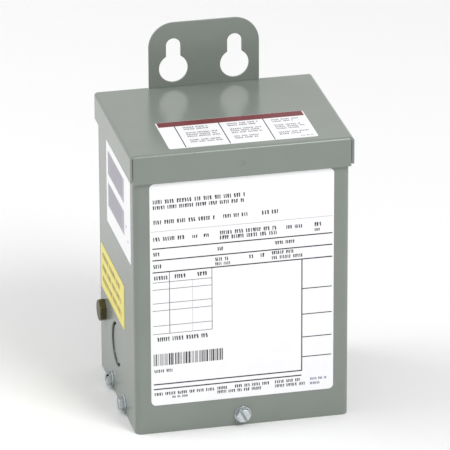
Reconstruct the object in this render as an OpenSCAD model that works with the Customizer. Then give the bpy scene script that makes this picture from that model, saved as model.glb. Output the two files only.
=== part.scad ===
// Wall-hung buck-boost transformer in a folded sheet-metal case.
// The origin is the centre of the case's base, +Z is up, the front faces -Y and the wall is at +Y.

/* [Case] */
// Width of the case, across its side faces
case_w = 133; // [100:1:180]
// Depth of the case, from the front face to the wall
case_d = 105; // [80:1:150]
// Height from the base to the top of the lid
case_h = 184; // [150:1:260]
// Thickness of the case, lid, pan and back plate sheet
sheet = 1.4; // [1:0.1:2]
// Outer radius of the two upright front bends
front_bend_r = 4; // [3:0.5:8]
// Width of the inward flanges at the back of the sides
rear_flange_w = 12; // [8:1:20]

/* [Lid] */
// Clearance between the lid's flanges and the case
lid_gap = 0.8; // [0.3:0.1:2]
// Depth of the lid's front flange, from the lid's top
lid_front_drop = 18.5; // [12:0.5:30]
// Depth of the lid's side flanges, from the lid's top
lid_side_drop = 17; // [12:0.5:30]
// Open slit between a side flange and the end of the front flange
lid_corner_slit = 0.4; // [0.2:0.1:2]
// Radius of the locating dimple in the front flange
dimple_r = 1.6; // [1:0.1:3]
// Height of the dimple above the front flange's lower edge
dimple_up = 8.6; // [5:0.1:12]
// Clearance round the hanging tab where it passes the lid
tab_gap = 0.4; // [0.2:0.1:1]

/* [Hanging tab] */
// Width of the tab
tab_w = 69.5; // [60:0.5:90]
// Rise of the tab above the lid
tab_rise = 42; // [38:0.5:60]
// Radius of the tab's upper corners
tab_corner_r = 16; // [8:0.5:20]
// Distance between the two keyholes
keyhole_pitch = 38.4; // [30:0.1:45]
// Radius of the keyhole's round entry
keyhole_r = 9; // [7:0.5:10]
// Width of the keyhole's slot
keyhole_slot_w = 9; // [6:0.5:10]
// Height of the round entry's centre above the lid
keyhole_up = 12; // [11:0.5:14]
// Distance from the entry's centre up to the slot's end centre
keyhole_run = 15; // [10:0.5:18]

/* [Bottom pan] */
// Clearance between the pan and the case
pan_gap = 0.3; // [0.2:0.1:1]
// Height of the pan's upturned flanges
pan_flange_h = 13; // [11:0.5:20]
// Side of the square notch at each of the pan's corners
pan_notch = 5; // [4:0.5:10]

/* [Core] */
// Height of the wiring space under the potted core
wiring_space_h = 64; // [58:1:80]
// Air space between the potting and the lid
core_top_gap = 8; // [2:1:20]
// Radius of the potting's upright corners
core_corner_r = 5; // [4:0.5:10]

/* [Knockouts] */
// Diameter of a knockout for a 3/4 inch trade-size conduit
knockout_d = 28.2; // [22:0.1:36]
// Height of the knockouts above the base
knockout_up = 35.5; // [30:0.5:45]
// Distance of the knockouts behind the middle of the depth
knockout_back = 5; // [0:0.5:15]
// Width of the sheared groove round a knockout
knockout_groove = 1.6; // [0.4:0.1:2]
// Distance that a knockout is pressed in behind the face of the case
knockout_inset = 0.9; // [0:0.1:1.2]
// Width of the ties that hold a knockout
knockout_tie_w = 3; // [1.5:0.5:5]
// Width of the crack at a tie's end
knockout_crack = 0.05; // [0.02:0.01:0.2]

/* [Fasteners] */
// Diameter of a sheet-metal screw's thread
screw_d = 4.8; // [3:0.1:6]
// Length of a screw under its head
screw_len = 12; // [8:1:20]
// Diameter of the washer under a screw's head
screw_washer_d = 10.5; // [8:0.1:11]
// Thickness of that washer
screw_washer_t = 1; // [0.8:0.1:1.5]
// Width across the flats of a screw's head
screw_flats = 7.9; // [6:0.1:9]
// Height of a screw's hexagon above its washer
screw_hex_h = 3.2; // [2.5:0.1:5]
// Width of the slot in a screw's head
screw_slot_w = 1.5; // [1:0.1:2]
// Depth of the slot in a screw's head
screw_slot_t = 1.5; // [1:0.1:2]
// Height of the front screw above the base
front_screw_up = 7.4; // [6:0.1:9]
// Height of the side screws above the base
side_screw_up = 6.2; // [6:0.1:9]
// Distance between the two screws of each side
side_screw_pitch = 37.4; // [25:0.1:60]
// Width across the flats of the side bolts
bolt_flats = 12.7; // [10:0.1:14]
// Height of a side bolt's head
bolt_head_h = 4; // [3:0.1:6]
// Thread diameter of the side bolts
bolt_d = 7.9; // [5:0.1:9]
// Length of a side bolt under its head
bolt_len = 10; // [6:1:16]
// Height of the side bolts above the base
bolt_up = 43.2; // [40:0.1:55]
// Distance of the side bolts in front of the wall
bolt_from_wall = 11.8; // [10:0.1:20]
// Radial clearance of a screw or bolt in the pan that it bites into
thread_gap = 0.05; // [0.02:0.01:0.2]
// Radial clearance of a screw or bolt in the case
hole_gap = 0.3; // [0.1:0.1:0.6]

/* [Labels] */
// Thickness of the labels
label_t = 0.2; // [0.1:0.05:0.4]
// Radius of the labels' corners
label_corner_r = 3; // [1:0.5:5]
// Width of the rating label on the front
rating_w = 113.5; // [80:0.5:118]
// Distance of the rating label's upper edge below the lid's front flange
rating_below = 1; // [0:0.1:5]
// Height of the rating label's lower edge above the base
rating_up = 18.7; // [16:0.1:30]
// Width of the label on the lid
lid_label_w = 91.6; // [60:0.1:96]
// Depth of the label on the lid
lid_label_d = 42; // [20:0.5:44]
// Distance of the lid label's middle to the right of the lid's middle
lid_label_right = 2.5; // [-5:0.1:5]
// Distance of the lid label's front edge behind the lid's front face
lid_label_in = 6.7; // [3:0.1:12]
// Width of the white label on the left side
side_label_w = 71.5; // [40:0.5:75]
// Distance of the white label's upper edge below the lid's side flange
side_label_below = 0.8; // [0:0.1:5]
// Height of the white label's lower edge above the base
side_label_up = 109.2; // [100:0.1:115]
// Distance of the white label's rear edge from the wall
side_label_from_wall = 25; // [20:0.5:27]
// Width of the yellow label on the left side
wiring_label_w = 70.3; // [50:0.1:75]
// Height of the yellow label on the left side
wiring_label_h = 29.6; // [20:0.1:32]
// Height of the yellow label's lower edge above the base
wiring_label_up = 56.4; // [54:0.1:70]
// Distance of the yellow label's rear edge from the wall
wiring_label_from_wall = 3.7; // [3:0.1:10]

/* [Hidden] */
$fn = 64;

half_w = case_w / 2;
half_d = case_d / 2;
inner_half_w = half_w - sheet;
wall_y = half_d;
plate_y = wall_y - sheet;
front_y = -half_d;
inner_front_y = front_y + sheet;
flange_y = plate_y - sheet;
shell_h = case_h - sheet;
inner_bend_r = front_bend_r - sheet;

lid_half_w = half_w + lid_gap + sheet;
lid_front_y = front_y - lid_gap - sheet;
lid_inner_bend_r = lid_gap;
lid_bend_r = lid_inner_bend_r + sheet;
lid_depth = wall_y - lid_front_y;
lid_front_half_w = lid_half_w - sheet - lid_corner_slit;
dimple_z = case_h - lid_front_drop + dimple_up;
dimple_recess = 0.3;

pan_half_w = inner_half_w - pan_gap;
pan_front_y = inner_front_y + pan_gap;
pan_rear_y = flange_y - pan_gap;

knockout_y = knockout_back;
tie_angles = [5, 130, 170];
bolt_y = wall_y - bolt_from_wall;
rating_h = case_h - lid_front_drop - rating_below - rating_up;
side_label_h = case_h - lid_side_drop - side_label_below - side_label_up;
front_slot_turn = 28;
side_slot_turns = [-35, 20];
screw_tip_h = 3;
crown_angle = 30;
crown_share = 0.96;
over = 1;

paint = "#9aa39c";
zinc = "#c9cdd0";
bronze = "#4f4a35";
resin = "#2b2a28";
label_white = "#f1f1f4";
label_yellow = "#ecc93c";

// A rectangle with its two lower corners rounded, from y0 to y1.
module front_rounded(half, y0, y1, r) {
    translate([-half, y0 + r])
        square([2 * half, y1 - y0 - r]);
    translate([-half + r, y0])
        square([2 * (half - r), r]);
    for (side = [-1, 1])
        translate([side * (half - r), y0 + r])
            circle(r);
}

// A centred rectangle with four rounded corners.
module rounded_rect(w, h, r) {
    square([w - 2 * r, h], center = true);
    square([w, h - 2 * r], center = true);
    for (x = [-1, 1], y = [-1, 1])
        translate([x * (w / 2 - r), y * (h / 2 - r)])
            circle(r);
}

// Places a flat outline, drawn as seen from outside, on the left side face.
module on_left_face(y, z, proud) {
    translate([-half_w - proud, y, z])
        rotate([90, 0, 90])
            mirror([1, 0, 0])
                children();
}

// Places a shape that is built along +Z so that it points out of a side face.
module out_of_side(side, y, z) {
    translate([side * half_w, y, z])
        rotate([0, side * 90, 0])
            children();
}

module keyhole() {
    circle(keyhole_r);
    translate([-keyhole_slot_w / 2, 0])
        square([keyhole_slot_w, keyhole_run]);
    translate([0, keyhole_run])
        circle(keyhole_slot_w / 2);
}

module back_outline() {
    tab_top = case_h + tab_rise;
    translate([-half_w, 0])
        square([case_w, shell_h]);
    translate([-tab_w / 2, 0])
        square([tab_w, tab_top - tab_corner_r]);
    translate([-tab_w / 2 + tab_corner_r, 0])
        square([tab_w - 2 * tab_corner_r, tab_top]);
    for (side = [-1, 1])
        translate([side * (tab_w / 2 - tab_corner_r), tab_top - tab_corner_r])
            circle(tab_corner_r);
}

module back_plate() {
    color(paint)
        translate([0, wall_y, 0])
            rotate([90, 0, 0])
                linear_extrude(sheet)
                    difference() {
                        back_outline();
                        for (side = [-1, 1])
                            translate([side * keyhole_pitch / 2, case_h + keyhole_up])
                                keyhole();
                    }
}

module case_section() {
    difference() {
        front_rounded(half_w, front_y, plate_y, front_bend_r);
        front_rounded(inner_half_w, inner_front_y, flange_y, inner_bend_r);
        translate([-half_w + rear_flange_w, flange_y - over])
            square([case_w - 2 * rear_flange_w, sheet + 2 * over]);
    }
}

module case_wrapper() {
    hole_r = screw_d / 2 + hole_gap;
    color(paint)
        difference() {
            linear_extrude(shell_h)
                case_section();
            translate([0, inner_front_y + over, front_screw_up])
                rotate([90, 0, 0])
                    cylinder(r = hole_r, h = sheet + 2 * over);
            for (side = [-1, 1]) {
                for (end = [-1, 1])
                    out_of_side(side, end * side_screw_pitch / 2, side_screw_up)
                        translate([0, 0, -sheet - over])
                            cylinder(r = hole_r, h = sheet + 2 * over);
                out_of_side(side, bolt_y, bolt_up)
                    translate([0, 0, -sheet - over])
                        cylinder(r = bolt_d / 2 + hole_gap, h = sheet + 2 * over);
                out_of_side(side, knockout_y, knockout_up)
                    translate([0, 0, -sheet - over])
                        cylinder(r = knockout_d / 2, h = sheet + 2 * over);
            }
        }
}

// The lid's cross-section from side to side: top, two bends and two side flanges.
module lid_cross_section() {
    inner_half = lid_half_w - sheet;
    difference() {
        mirror([0, 1])
            front_rounded(lid_half_w, -case_h, -case_h + lid_side_drop, lid_bend_r);
        mirror([0, 1])
            front_rounded(inner_half, -case_h + sheet, -case_h + lid_side_drop + over,
                          lid_inner_bend_r);
    }
}

// The lid's section from front to back at the front bend.
module lid_front_section() {
    bend_y = lid_front_y + lid_bend_r;
    bend_z = case_h - lid_bend_r;
    difference() {
        union() {
            translate([bend_y, bend_z])
                circle(lid_bend_r);
            translate([lid_front_y, case_h - lid_front_drop])
                square([sheet, lid_front_drop - lid_bend_r]);
            translate([bend_y, case_h - sheet])
                square([sheet, sheet]);
        }
        translate([bend_y, bend_z])
            circle(lid_inner_bend_r);
        translate([lid_front_y + sheet, case_h - lid_front_drop - over])
            square([2 * lid_bend_r, lid_front_drop - lid_bend_r + over]);
        translate([bend_y, bend_z - lid_bend_r - over])
            square([2 * lid_bend_r, 2 * lid_bend_r + over - sheet]);
    }
}

module lid_cap() {
    bend_y = lid_front_y + lid_bend_r;
    color(paint)
        difference() {
            union() {
                translate([0, wall_y, 0])
                    rotate([90, 0, 0])
                        linear_extrude(wall_y - bend_y)
                            lid_cross_section();
                translate([0, bend_y, 0])
                    rotate([90, 0, 0])
                        linear_extrude(lid_bend_r)
                            difference() {
                                lid_cross_section();
                                translate([-lid_half_w + lid_bend_r, 0])
                                    square([2 * (lid_half_w - lid_bend_r), case_h + over]);
                            }
                translate([-lid_front_half_w, 0, 0])
                    rotate([90, 0, 90])
                        linear_extrude(2 * lid_front_half_w)
                            lid_front_section();
                translate([0, front_y, dimple_z])
                    rotate([90, 0, 0])
                        cylinder(r = dimple_r + sheet / 2, h = lid_gap + sheet / 2);
            }
            translate([0, lid_front_y + dimple_recess, dimple_z])
                rotate([90, 0, 0])
                    cylinder(r = dimple_r, h = dimple_recess + over);
            translate([-tab_w / 2 - tab_gap, plate_y - tab_gap, case_h - sheet - over])
                cube([tab_w + 2 * tab_gap, sheet + tab_gap + over, sheet + 2 * over]);
        }
}

module bottom_pan() {
    pan_d = pan_rear_y - pan_front_y;
    hole_r = screw_d / 2 + thread_gap;
    color(paint)
        difference() {
            translate([-pan_half_w, pan_front_y, 0])
                cube([2 * pan_half_w, pan_d, pan_flange_h]);
            translate([-pan_half_w + sheet, pan_front_y + sheet, sheet])
                cube([2 * (pan_half_w - sheet), pan_d - 2 * sheet, pan_flange_h]);
            for (side = [-1, 1], y = [pan_front_y, pan_rear_y])
                translate([side * pan_half_w, y, pan_flange_h / 2])
                    cube([2 * pan_notch, 2 * pan_notch, pan_flange_h + 2 * over], center = true);
            translate([0, pan_front_y + sheet + over, front_screw_up])
                rotate([90, 0, 0])
                    cylinder(r = hole_r, h = sheet + 2 * over);
            for (side = [-1, 1], end = [-1, 1])
                translate([side * (pan_half_w - sheet - over), end * side_screw_pitch / 2,
                           side_screw_up])
                    rotate([0, side * 90, 0])
                        cylinder(r = hole_r, h = sheet + 2 * over);
        }
}

module potted_core() {
    core_d = flange_y - inner_front_y;
    color(resin)
        translate([0, (flange_y + inner_front_y) / 2, wiring_space_h])
            linear_extrude(shell_h - core_top_gap - wiring_space_h)
                rounded_rect(2 * inner_half_w, core_d, core_corner_r);
}

module knockout(side) {
    hole_r = knockout_d / 2;
    slug_r = hole_r - knockout_groove;
    color(paint)
        out_of_side(side, knockout_y, knockout_up)
            translate([0, 0, -sheet - knockout_inset])
                linear_extrude(sheet)
                    intersection() {
                        circle(hole_r - knockout_crack);
                        union() {
                            circle(slug_r);
                            // Each tie's angle is counted from straight up, towards the wall.
                            for (turn = tie_angles)
                                rotate(side > 0 ? 180 - turn : turn)
                                    translate([0, -knockout_tie_w / 2])
                                        square([hole_r + over, knockout_tie_w]);
                        }
                    }
}

// A hexagon prism whose outer corners are turned down to a cone, standing on z = 0.
module turned_hexagon(flats, h) {
    crown_r = crown_share * flats / 2;
    intersection() {
        cylinder(r = flats / sqrt(3), h = h, $fn = 6);
        cylinder(r1 = crown_r + h / tan(crown_angle), r2 = crown_r, h = h);
    }
}

module hex_bolt(side) {
    color(bronze)
        out_of_side(side, bolt_y, bolt_up) {
            turned_hexagon(bolt_flats, bolt_head_h);
            translate([0, 0, -bolt_len])
                cylinder(r = bolt_d / 2, h = bolt_len);
        }
}

// A slotted hexagon-head washer screw along +Z, seated at z = 0.
module washer_screw(slot_turn) {
    head_h = screw_washer_t + screw_hex_h;
    color(zinc)
        difference() {
            union() {
                cylinder(r = screw_washer_d / 2, h = screw_washer_t);
                rotate(slot_turn)
                    turned_hexagon(screw_flats, head_h);
                translate([0, 0, -screw_len + screw_tip_h])
                    cylinder(r = screw_d / 2, h = screw_len - screw_tip_h);
                translate([0, 0, -screw_len])
                    cylinder(r1 = screw_d / 8, r2 = screw_d / 2, h = screw_tip_h);
            }
            rotate(slot_turn)
                translate([-screw_flats, -screw_slot_w / 2, head_h - screw_slot_t])
                    cube([2 * screw_flats, screw_slot_w, screw_slot_t + over]);
        }
}

module front_screw() {
    translate([0, front_y, front_screw_up])
        rotate([90, 0, 0])
            washer_screw(90 + front_slot_turn);
}

module side_screw(side, end, slot_turn) {
    out_of_side(side, end * side_screw_pitch / 2, side_screw_up)
        washer_screw(slot_turn);
}

module rating_label() {
    color(label_white)
        translate([0, front_y, rating_up + rating_h / 2])
            rotate([90, 0, 0])
                linear_extrude(label_t)
                    rounded_rect(rating_w, rating_h, label_corner_r);
}

module lid_label() {
    color(label_white)
        translate([lid_label_right, lid_front_y + lid_label_in + lid_label_d / 2, case_h])
            linear_extrude(label_t)
                rounded_rect(lid_label_w, lid_label_d, label_corner_r / 2);
}

module side_label() {
    color(label_white)
        on_left_face(wall_y - side_label_from_wall - side_label_w / 2,
                     side_label_up + side_label_h / 2, label_t)
            linear_extrude(label_t)
                rounded_rect(side_label_w, side_label_h, label_corner_r / 3);
}

module wiring_label() {
    color(label_yellow)
        on_left_face(wall_y - wiring_label_from_wall - wiring_label_w / 2,
                     wiring_label_up + wiring_label_h / 2, label_t)
            linear_extrude(label_t)
                rounded_rect(wiring_label_w, wiring_label_h, label_corner_r / 3);
}

back_plate();
case_wrapper();
lid_cap();
bottom_pan();
potted_core();
knockout(-1);  // left_knockout
knockout(1);  // right_knockout
hex_bolt(-1);  // left_hex_bolt
hex_bolt(1);  // right_hex_bolt
front_screw();
side_screw(-1, 1, side_slot_turns[0]);  // left_rear_screw
side_screw(-1, -1, side_slot_turns[1]);  // left_front_screw
side_screw(1, 1, side_slot_turns[1]);  // right_rear_screw
side_screw(1, -1, side_slot_turns[0]);  // right_front_screw
rating_label();
lid_label();
side_label();
wiring_label();
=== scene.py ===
"""Looks of a small wall-hung transformer in a folded, painted sheet-metal case."""
import math
import random

import bmesh
import bpy
from mathutils import Matrix, Vector


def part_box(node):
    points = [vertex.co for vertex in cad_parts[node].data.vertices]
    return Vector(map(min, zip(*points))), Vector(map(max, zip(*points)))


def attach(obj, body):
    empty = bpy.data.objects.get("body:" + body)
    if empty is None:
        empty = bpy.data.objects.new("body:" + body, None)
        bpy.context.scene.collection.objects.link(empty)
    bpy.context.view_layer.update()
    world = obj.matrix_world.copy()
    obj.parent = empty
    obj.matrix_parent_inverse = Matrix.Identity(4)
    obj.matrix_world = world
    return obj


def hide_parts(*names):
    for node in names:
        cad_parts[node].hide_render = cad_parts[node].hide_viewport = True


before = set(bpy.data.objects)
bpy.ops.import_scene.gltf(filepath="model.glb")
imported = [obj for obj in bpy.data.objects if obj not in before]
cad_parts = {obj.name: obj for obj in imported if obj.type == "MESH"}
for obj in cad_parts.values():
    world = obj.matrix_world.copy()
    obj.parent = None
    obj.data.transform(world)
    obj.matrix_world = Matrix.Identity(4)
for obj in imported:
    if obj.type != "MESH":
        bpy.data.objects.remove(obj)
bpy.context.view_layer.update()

mm = 0.001

# ---------------------------------------------------------------------------------------
# Folded case: back plate with its hanging tab, wrapper, lid and bottom pan.
# Each is one blank of cold-rolled sheet, punched, folded and powder coated grey-green.
# Sheared edges keep a small round of paint, so each copy of the frame's shape gets one.
# ---------------------------------------------------------------------------------------
weld_reach = 0.004 * mm
flat_turn = math.radians(0.5)
edge_turn = math.radians(32)


def linear(hex_colour):
    """An sRGB hex colour as linear RGBA."""
    channels = [int(hex_colour[i:i + 2], 16) / 255 for i in (1, 3, 5)]
    curve = [c / 12.92 if c <= 0.04045 else ((c + 0.055) / 1.055) ** 2.4 for c in channels]
    return (*curve, 1.0)


def new_material(name):
    """An empty principled material: its tree and its shader."""
    material = bpy.data.materials.new(name)
    material.use_nodes = True
    tree = material.node_tree
    return material, tree, tree.nodes["Principled BSDF"]


def add(tree, kind, settings=None, **links):
    """A node of that kind, with its settings, and its inputs set or linked by name."""
    node = tree.nodes.new(kind)
    for name, value in (settings or {}).items():
        setattr(node, name, value)
    for name, value in links.items():
        key = int(name[1:]) if name[0] == "i" and name[1:].isdigit() else name.replace("_", " ")
        if isinstance(value, bpy.types.NodeSocket):
            tree.links.new(value, node.inputs[key])
        else:
            node.inputs[key].default_value = value
    return node


def blend_colours(tree, factor, first, second):
    """A mix by a factor socket of two colours, each a value or a socket."""
    node = add(tree, "ShaderNodeMix", {"data_type": "RGBA"}, i0=factor, i6=first, i7=second)
    return node.outputs[2]


def stand_for(piece, node):
    """The piece takes the place of a node of the frame."""
    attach(piece, "root")
    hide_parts(node)
    return piece


def rounded_copy(node, material, edge_round, steps=2):
    """A copy of a node's shape with its flats joined and its sharp edges rounded."""
    shape = bmesh.new()
    shape.from_mesh(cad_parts[node].data)
    bmesh.ops.remove_doubles(shape, verts=shape.verts, dist=weld_reach)
    bmesh.ops.dissolve_limit(shape, angle_limit=flat_turn, verts=shape.verts, edges=shape.edges)
    for face in shape.faces:
        face.smooth = True
    mesh = bpy.data.meshes.new(node + "_shape")
    shape.to_mesh(mesh)
    shape.free()
    mesh.materials.clear()
    mesh.materials.append(material)
    piece = bpy.data.objects.new(node + "_finished", mesh)
    bpy.context.scene.collection.objects.link(piece)
    bevel = piece.modifiers.new("edge_round", "BEVEL")
    bevel.width = edge_round
    bevel.segments = steps
    bevel.limit_method = "ANGLE"
    bevel.angle_limit = edge_turn
    bevel.loop_slide = False
    even = piece.modifiers.new("flats_stay_flat", "WEIGHTED_NORMAL")
    even.mode = "FACE_AREA"
    even.weight = 100
    return stand_for(piece, node)


# Polyester powder coat, baked on: semi-gloss, with a fine orange peel and a soft waviness
# of the thin sheet under it, so reflections of the lid's neighbours smear a little.
peel_size = 1.6 * mm
peel_height = 0.05 * mm
sheet_wave = 55 * mm
sheet_wave_height = 0.6 * mm
cloud_size = 30 * mm


def powder_coat():
    material, tree, shader = new_material("grey_green_powder_coat")
    place = add(tree, "ShaderNodeTexCoord").outputs["Object"]
    clouds = add(tree, "ShaderNodeTexNoise", Vector=place, Scale=1 / cloud_size, Detail=3.0)
    peel = add(tree, "ShaderNodeTexNoise", Vector=place, Scale=1 / peel_size, Detail=2.0)
    wave = add(tree, "ShaderNodeTexNoise", Vector=place, Scale=1 / sheet_wave, Detail=1.0)
    tint = blend_colours(tree, clouds.outputs["Fac"], linear("#7b827b"), linear("#848b84"))
    gloss = add(tree, "ShaderNodeMapRange", Value=clouds.outputs["Fac"],
                To_Min=0.18, To_Max=0.25)
    fine = add(tree, "ShaderNodeBump", Height=peel.outputs["Fac"], Strength=0.12,
               Distance=peel_height)
    soft = add(tree, "ShaderNodeBump", Height=wave.outputs["Fac"], Strength=0.25,
               Distance=sheet_wave_height, Normal=fine.outputs["Normal"])
    tree.links.new(tint, shader.inputs["Base Color"])
    tree.links.new(gloss.outputs["Result"], shader.inputs["Roughness"])
    tree.links.new(soft.outputs["Normal"], shader.inputs["Normal"])
    shader.inputs["IOR"].default_value = 1.55
    return material


paint = powder_coat()
sheet_edge_round = 0.3 * mm
for sheet_part in ("back_plate", "case_wrapper", "lid_cap", "bottom_pan"):
    rounded_copy(sheet_part, paint, sheet_edge_round)

# ---------------------------------------------------------------------------------------
# Conduit knockouts: round slugs half sheared out of the sides and held by three ties.
# The shearing tool leaves the slug's rim a little rolled, in the same powder coat.
# ---------------------------------------------------------------------------------------
slug_rim_round = 0.45 * mm
for slug in ("left_knockout", "right_knockout"):
    rounded_copy(slug, paint, slug_rim_round, steps=3)

# ---------------------------------------------------------------------------------------
# Potted core: laminated core and windings cast in filled epoxy resin, hidden in the case.
# It is dark, matt and faintly grainy from the silica in the resin.
# ---------------------------------------------------------------------------------------
silica_grain = 0.8 * mm
silica_height = 0.2 * mm


def cast_epoxy():
    material, tree, shader = new_material("silica_filled_epoxy")
    place = add(tree, "ShaderNodeTexCoord").outputs["Object"]
    grain = add(tree, "ShaderNodeTexNoise", Vector=place, Scale=1 / silica_grain, Detail=4.0)
    tint = blend_colours(tree, grain.outputs["Fac"], linear("#262524"), linear("#3a3835"))
    rough = add(tree, "ShaderNodeBump", Height=grain.outputs["Fac"], Strength=0.4,
                Distance=silica_height)
    tree.links.new(tint, shader.inputs["Base Color"])
    tree.links.new(rough.outputs["Normal"], shader.inputs["Normal"])
    shader.inputs["Roughness"].default_value = 0.7
    return material


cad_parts["potted_core"].data.materials.clear()
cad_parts["potted_core"].data.materials.append(cast_epoxy())

# ---------------------------------------------------------------------------------------
# Screws and bolts: cold-headed steel. The slotted washer-head screws are bright zinc
# plated, and the hexagon bolts by the wall have a dark olive chromate over the zinc.
# ---------------------------------------------------------------------------------------
plating_spot = 1.2 * mm
plating_pit = 0.05 * mm
head_edge_round = 0.18 * mm
# How far the painted shade in the slot and under the hexagon reaches.
painted_shade_reach = 1.8 * mm


def plated_steel(name, low, high, roughness, metallic):
    material, tree, shader = new_material(name)
    place = add(tree, "ShaderNodeTexCoord").outputs["Object"]
    spots = add(tree, "ShaderNodeTexNoise", Vector=place, Scale=1 / plating_spot, Detail=3.0)
    plate = blend_colours(tree, spots.outputs["Fac"], linear(low), linear(high))
    # Painted shade: an ambient-occlusion mask darkens the colour in the slot and where the
    # hexagon meets its washer.
    painted_shade_mask = add(tree, "ShaderNodeAmbientOcclusion", {"samples": 8, "only_local": True},
               Distance=painted_shade_reach)
    tint = blend_colours(tree, painted_shade_mask.outputs["AO"], linear("#17191a"), plate)
    gloss = add(tree, "ShaderNodeMapRange", Value=spots.outputs["Fac"],
                To_Min=roughness - 0.06, To_Max=roughness + 0.08)
    pits = add(tree, "ShaderNodeBump", Height=spots.outputs["Fac"], Strength=0.15,
               Distance=plating_pit)
    tree.links.new(tint, shader.inputs["Base Color"])
    tree.links.new(gloss.outputs["Result"], shader.inputs["Roughness"])
    tree.links.new(pits.outputs["Normal"], shader.inputs["Normal"])
    shader.inputs["Metallic"].default_value = metallic
    return material


zinc = plated_steel("bright_zinc_plate", "#b0b9bd", "#dde2e4", 0.22, 1.0)
olive = plated_steel("olive_chromate", "#3d3822", "#6b6546", 0.38, 0.75)
for screw in ("front_screw", "left_rear_screw", "left_front_screw",
              "right_rear_screw", "right_front_screw"):
    rounded_copy(screw, zinc, head_edge_round)
for bolt in ("left_hex_bolt", "right_hex_bolt"):
    rounded_copy(bolt, olive, head_edge_round)

# ---------------------------------------------------------------------------------------
# Label stock: die-cut vinyl film with a clear overlay, pressed flat on the paint.
# The film is smooth and semi-gloss, with a barely visible press texture.
# ---------------------------------------------------------------------------------------
film_ripple = 9 * mm
film_ripple_height = 0.1 * mm


def vinyl_film(name, low, high):
    material, tree, shader = new_material(name)
    place = add(tree, "ShaderNodeTexCoord").outputs["Object"]
    ripple = add(tree, "ShaderNodeTexNoise", Vector=place, Scale=1 / film_ripple, Detail=2.0)
    tint = blend_colours(tree, ripple.outputs["Fac"], linear(low), linear(high))
    press = add(tree, "ShaderNodeBump", Height=ripple.outputs["Fac"], Strength=0.1,
                Distance=film_ripple_height)
    tree.links.new(tint, shader.inputs["Base Color"])
    tree.links.new(press.outputs["Normal"], shader.inputs["Normal"])
    shader.inputs["Roughness"].default_value = 0.32
    return material


white_film = vinyl_film("white_vinyl_film", "#f5f5f8", "#fbfbfc")
yellow_film = vinyl_film("yellow_vinyl_film", "#efdd58", "#f4e56e")
for label, film in (("rating_label", white_film), ("lid_label", white_film),
                    ("side_label", white_film), ("wiring_label", yellow_film)):
    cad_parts[label].data.materials.clear()
    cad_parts[label].data.materials.append(film)

# ---------------------------------------------------------------------------------------
# Printing: screen-printed ink that stands a hair above the film. It has rules, bands and
# rows of plain strokes in place of words, and it spells nothing.
# ---------------------------------------------------------------------------------------
ink_t = 0.03 * mm
ink_step = 0.01  # in mm, so that a later ink lies on an earlier one
ink_speck = 0.4 * mm
strokes = random.Random(7)


def screen_ink(name, hex_colour):
    material, tree, shader = new_material(name)
    place = add(tree, "ShaderNodeTexCoord").outputs["Object"]
    speck = add(tree, "ShaderNodeTexNoise", Vector=place, Scale=1 / ink_speck, Detail=2.0)
    base = linear(hex_colour)
    worn = tuple(min(1.0, c * 1.25 + 0.01) for c in base[:3]) + (1.0,)
    tint = blend_colours(tree, speck.outputs["Fac"], base, worn)
    tree.links.new(tint, shader.inputs["Base Color"])
    shader.inputs["Roughness"].default_value = 0.45
    return material


def block(sheet, left, top, width, height):
    """One inked rectangle, in mm right of and below the label's upper left corner."""
    flat = Matrix.Translation((left + width / 2, -(top + height / 2), 0))
    flat @= Matrix.Diagonal((width / 2, height / 2, 1, 1))
    bmesh.ops.create_grid(sheet, x_segments=1, y_segments=1, size=1, matrix=flat)


def row(sheet, left, right, middle, height, word=(3.5, 9.0)):
    """A row of strokes in groups, like the look of small print that can't be read."""
    at = left
    while at < right - height * 0.4:
        end = min(right, at + strokes.uniform(*word) * height / 2.4)
        while at < end - height * 0.3:
            wide = height * strokes.uniform(0.28, 0.52)
            upper = height * strokes.uniform(0.3, 0.6)
            top = middle - height / 2
            block(sheet, at, top, wide * strokes.uniform(0.6, 1.0), upper)
            block(sheet, at + wide * strokes.uniform(0.0, 0.3), top + upper,
                  wide * 0.7, height - upper)
            at += wide + height * strokes.uniform(0.10, 0.18)
        at += height * 0.55


def finish_print(name, sheets, corner, right, down):
    """Joins inked sheets into one piece and lays it on a label by its corner and axes."""
    whole = bmesh.new()
    mesh = bpy.data.meshes.new(name)
    for index, (sheet, ink) in enumerate(sheets):
        bmesh.ops.translate(sheet, verts=sheet.verts, vec=(0, 0, index * ink_step))
        for face in sheet.faces:
            face.material_index = index
        part = bpy.data.meshes.new(name + "_part")
        sheet.to_mesh(part)
        sheet.free()
        whole.from_mesh(part)
        bpy.data.meshes.remove(part)
        mesh.materials.append(ink)
    out = right.cross(-down)
    turn = Matrix((right, -down, out)).transposed().to_4x4()
    place = Matrix.Translation(corner + out * ink_t) @ turn @ Matrix.Scale(mm, 4)
    bmesh.ops.transform(whole, matrix=place, verts=whole.verts)
    whole.to_mesh(mesh)
    whole.free()
    piece = bpy.data.objects.new(name, mesh)
    bpy.context.scene.collection.objects.link(piece)
    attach(piece, "root")
    return piece


black = screen_ink("black_screen_ink", "#1d1d20")
pale_grey = screen_ink("pale_grey_screen_ink", "#b9b9c0")
blue = screen_ink("blue_screen_ink", "#5b6486")
red = screen_ink("red_screen_ink", "#66111a")
panel_grey = screen_ink("panel_grey_screen_ink", "#a9a7b0")
slate = screen_ink("slate_screen_ink", "#6c6a76")
brown = screen_ink("brown_screen_ink", "#6f6630")

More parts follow.
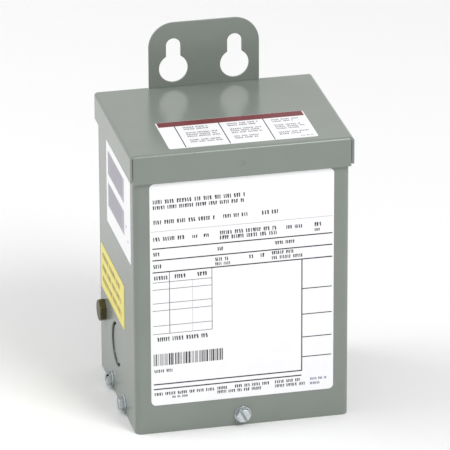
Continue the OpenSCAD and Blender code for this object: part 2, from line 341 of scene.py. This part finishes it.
# The rating label on the front: heading rows, four heavy rules, a small ruled table,
# a bar pattern of random widths, a column of empty cells and a foot line.
low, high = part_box("rating_label")
layout_rise = 1 * mm  # the rows are measured from this far above the label's upper edge
corner = Vector((low.x, low.y, high.z + layout_rise))
dark, faint, tinted = bmesh.new(), bmesh.new(), bmesh.new()
rows = (
    (2, 59, 12.2, 2.6), (2, 58, 15.9, 2.4), (2.3, 41, 25.4, 2.6), (45, 60, 25.2, 2.4),
    (69, 80, 25.2, 2.6), (2, 24, 36.4, 2.6), (26, 29.6, 36.6, 2), (33, 36, 36.6, 2.2),
    (43, 78, 35.8, 2.5), (43, 80, 39.0, 2.5), (84, 94, 36.2, 2.3), (101.5, 106, 36, 2.6),
    (101.5, 105.5, 39.6, 1.8), (2, 6.6, 46.2, 2.4), (41.5, 46.6, 46.2, 2.4),
    (77, 89, 45.8, 2.2), (2, 7.6, 54.2, 2.6), (40, 48.6, 53, 2.4), (40, 50, 56, 2),
    (61, 64, 53.2, 2.4), (68, 71.4, 53, 2.6), (75, 89, 52.2, 2.2), (75, 96, 55.4, 2.2),
    (4, 36, 102.4, 2.7), (2, 14, 123.4, 2), (2, 39, 138.8, 2), (13, 23, 141.4, 1.4),
    (41, 47.5, 138.6, 2), (52, 74, 138.4, 2), (41, 68, 141.2, 2), (77, 94, 138.2, 2),
    (77, 96, 141, 2),
)
for left, right, middle, height in rows:
    row(dark, left, right, middle + 0.6, height)
for left, right, top, height in ((1.5, 112.6, 42.8, 0.75), (1.5, 112.6, 50.4, 0.75),
                                 (1.5, 112.6, 58.3, 0.75), (1.5, 93.6, 132.4, 0.8),
                                 (1.5, 93.6, 135.6, 0.8)):
    block(dark, left, top, right - left, height)
block(faint, 0.6, 31.8, 112, 0.35)
block(dark, 93.4, 58.6, 0.7, 74.4)
for top in (78, 95, 110.2, 123.4):
    block(dark, 94, top, 18.4, 0.6)
table_left, table_right = 1.4, 38
for top in (65.2, 69.9, 79, 83.8, 93.8, 99.2):
    block(dark, table_left, top, table_right - table_left, 0.32)
block(dark, 11.6, 59, 0.36, 40.4)
block(dark, 37.8, 59, 0.36, 40.4)
block(faint, 25.8, 65.4, 0.25, 34)
row(dark, 2.4, 10.6, 62.4, 2.6, word=(9, 10))
row(dark, 15, 22, 62.2, 2.6, word=(9, 10))
row(dark, 29, 35, 62, 2.6, word=(9, 10))
row(tinted, 99, 109, 139, 1.6)
row(tinted, 99, 106, 142, 1.6)
bar_at = 1.6
while bar_at < 44:
    bar_w = strokes.choice((0.35, 0.35, 0.7, 1.0))
    block(dark, bar_at, 112.6, bar_w, 7.8)
    bar_at += bar_w + strokes.choice((0.35, 0.45, 0.8))
finish_print("rating_print", ((dark, black), (faint, pale_grey), (tinted, blue)),
                     corner, Vector((1, 0, 0)), Vector((0, 0, -1)))

# The lid label: a plain red band over four cells, with rows of slate strokes in three.
low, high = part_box("lid_label")
corner = Vector((low.x, high.y, high.z))
label_w = (high.x - low.x) / mm
label_d = (high.y - low.y) / mm
band, dark, faint = bmesh.new(), bmesh.new(), bmesh.new()
block(band, 0.8, 0.2, label_w - 1.6, 7.4)
cell_edges = (10.4, 37.6, 65.0)
for edge in cell_edges:
    block(dark, edge - 0.3, 7.6, 0.6, label_d - 8.2)
for edge in cell_edges:
    for line in range(9):
        if line in (2, 6):
            continue
        top = 10.8 + line * 2.9
        right = edge + strokes.uniform(17, 25)
        row(faint, edge + 4.5, right, top, 1.8, word=(5, 10))
row(faint, label_w - 10, label_w - 2, label_d - 3, 1.2)
finish_print("lid_print", ((band, red), (dark, black), (faint, slate)),
                     corner, Vector((1, 0, 0)), Vector((0, -1, 0)))

# The white side label: two grey panels, rows of slate strokes on them, and two small dots.
low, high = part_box("side_label")
corner = Vector((low.x, high.y, high.z))
panels, faint = bmesh.new(), bmesh.new()
for top in (8.6, 29.6):
    block(panels, 4.8, top, 48, 15.6)
    for line in range(6):
        row(faint, 6, strokes.uniform(42, 51), top + 1.9 + line * 2.4, 1.2)
for left, top in ((57.5, 36), (62.5, 44)):
    block(panels, left, top, 2.2, 1.6)
finish_print("side_print", ((panels, panel_grey), (faint, slate)),
                     corner, Vector((0, -1, 0)), Vector((0, 0, -1)))

# The yellow side label: three rows of brown strokes.
low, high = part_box("wiring_label")
corner = Vector((low.x, high.y, high.z))
dark = bmesh.new()
for middle, height in ((6.5, 3.4), (14.5, 3.4), (22.5, 3.4)):
    row(dark, 5, strokes.uniform(58, 66), middle, height, word=(6, 14))
finish_print("wiring_print", ((dark, brown),),
                     corner, Vector((0, -1, 0)), Vector((0, 0, -1)))

# ---------------------------------------------------------------------------------------
# Studio: a pale floor, a white surround, a broad lamp high at the front right, a weak one on
# the left, and a long lens that looks down at the front and the left side.
# ---------------------------------------------------------------------------------------
floor_half = 4.0


def studio_floor():
    material, tree, shader = new_material("white_paper_sweep")
    place = add(tree, "ShaderNodeTexCoord").outputs["Object"]
    tooth = add(tree, "ShaderNodeTexNoise", Vector=place, Scale=400.0, Detail=2.0)
    tint = blend_colours(tree, tooth.outputs["Fac"], linear("#fbfbfb"), linear("#fefefe"))
    tree.links.new(tint, shader.inputs["Base Color"])
    shader.inputs["Roughness"].default_value = 0.9
    shape = bmesh.new()
    bmesh.ops.create_grid(shape, x_segments=1, y_segments=1, size=floor_half)
    mesh = bpy.data.meshes.new("studio_floor")
    shape.to_mesh(mesh)
    shape.free()
    mesh.materials.append(material)
    floor = bpy.data.objects.new("studio_floor", mesh)
    bpy.context.scene.collection.objects.link(floor)


def surround(light_level):
    world = bpy.data.worlds.new("white_surround")
    world.use_nodes = True
    tree = world.node_tree
    lit = tree.nodes["Background"]
    lit.inputs["Color"].default_value = (1, 1, 1, 1)
    lit.inputs["Strength"].default_value = light_level
    seen = add(tree, "ShaderNodeBackground", Color=(1, 1, 1, 1), Strength=1.0)
    path = add(tree, "ShaderNodeLightPath")
    shows = add(tree, "ShaderNodeMath", {"operation": "MAXIMUM"},
                i0=path.outputs["Is Camera Ray"], i1=path.outputs["Is Glossy Ray"])
    shows = add(tree, "ShaderNodeMath", {"operation": "MAXIMUM"},
                i0=shows.outputs[0], i1=path.outputs["Is Transmission Ray"])
    both = add(tree, "ShaderNodeMixShader", Fac=shows.outputs[0],
               i1=lit.outputs[0], i2=seen.outputs[0])
    tree.links.new(both.outputs[0], tree.nodes["World Output"].inputs["Surface"])
    bpy.context.scene.world = world


def softbox(name, place, aim, size, watts):
    lamp = bpy.data.lights.new(name, "AREA")
    lamp.shape = "SQUARE"
    lamp.size = size
    lamp.energy = watts
    holder = bpy.data.objects.new(name, lamp)
    holder.location = place
    holder.rotation_euler = (Vector(aim) - Vector(place)).to_track_quat("-Z", "Y").to_euler()
    bpy.context.scene.collection.objects.link(holder)


studio_floor()
surround(0.55)
softbox("left_fill_softbox", (-1.5, 0.5, 1.6), (0, 0, 0.1), 1.4, 17)
softbox("front_right_softbox", (0.9, -1.6, 2.0), (0, 0, 0.1), 1.0, 32)

azimuth = math.radians(-12.7)
elevation = math.radians(23.2)
roll = math.radians(-0.23)
distance = 2.997
aim = Vector((1.9, 2.7, 109.5)) * mm
away = Vector((math.sin(azimuth) * math.cos(elevation),
               -math.cos(azimuth) * math.cos(elevation), math.sin(elevation)))
lens = bpy.data.cameras.new("long_lens")
lens.lens = 391.4
lens.sensor_width = 36
lens.clip_end = 50
camera = bpy.data.objects.new("long_lens", lens)
camera.location = aim + away * distance
facing = (-away).to_track_quat("-Z", "Y").to_matrix().to_4x4()
camera.rotation_euler = (facing @ Matrix.Rotation(roll, 4, "Z")).to_euler()
bpy.context.scene.collection.objects.link(camera)
bpy.context.scene.camera = camera
bpy.context.scene.view_settings.view_transform = "Standard"
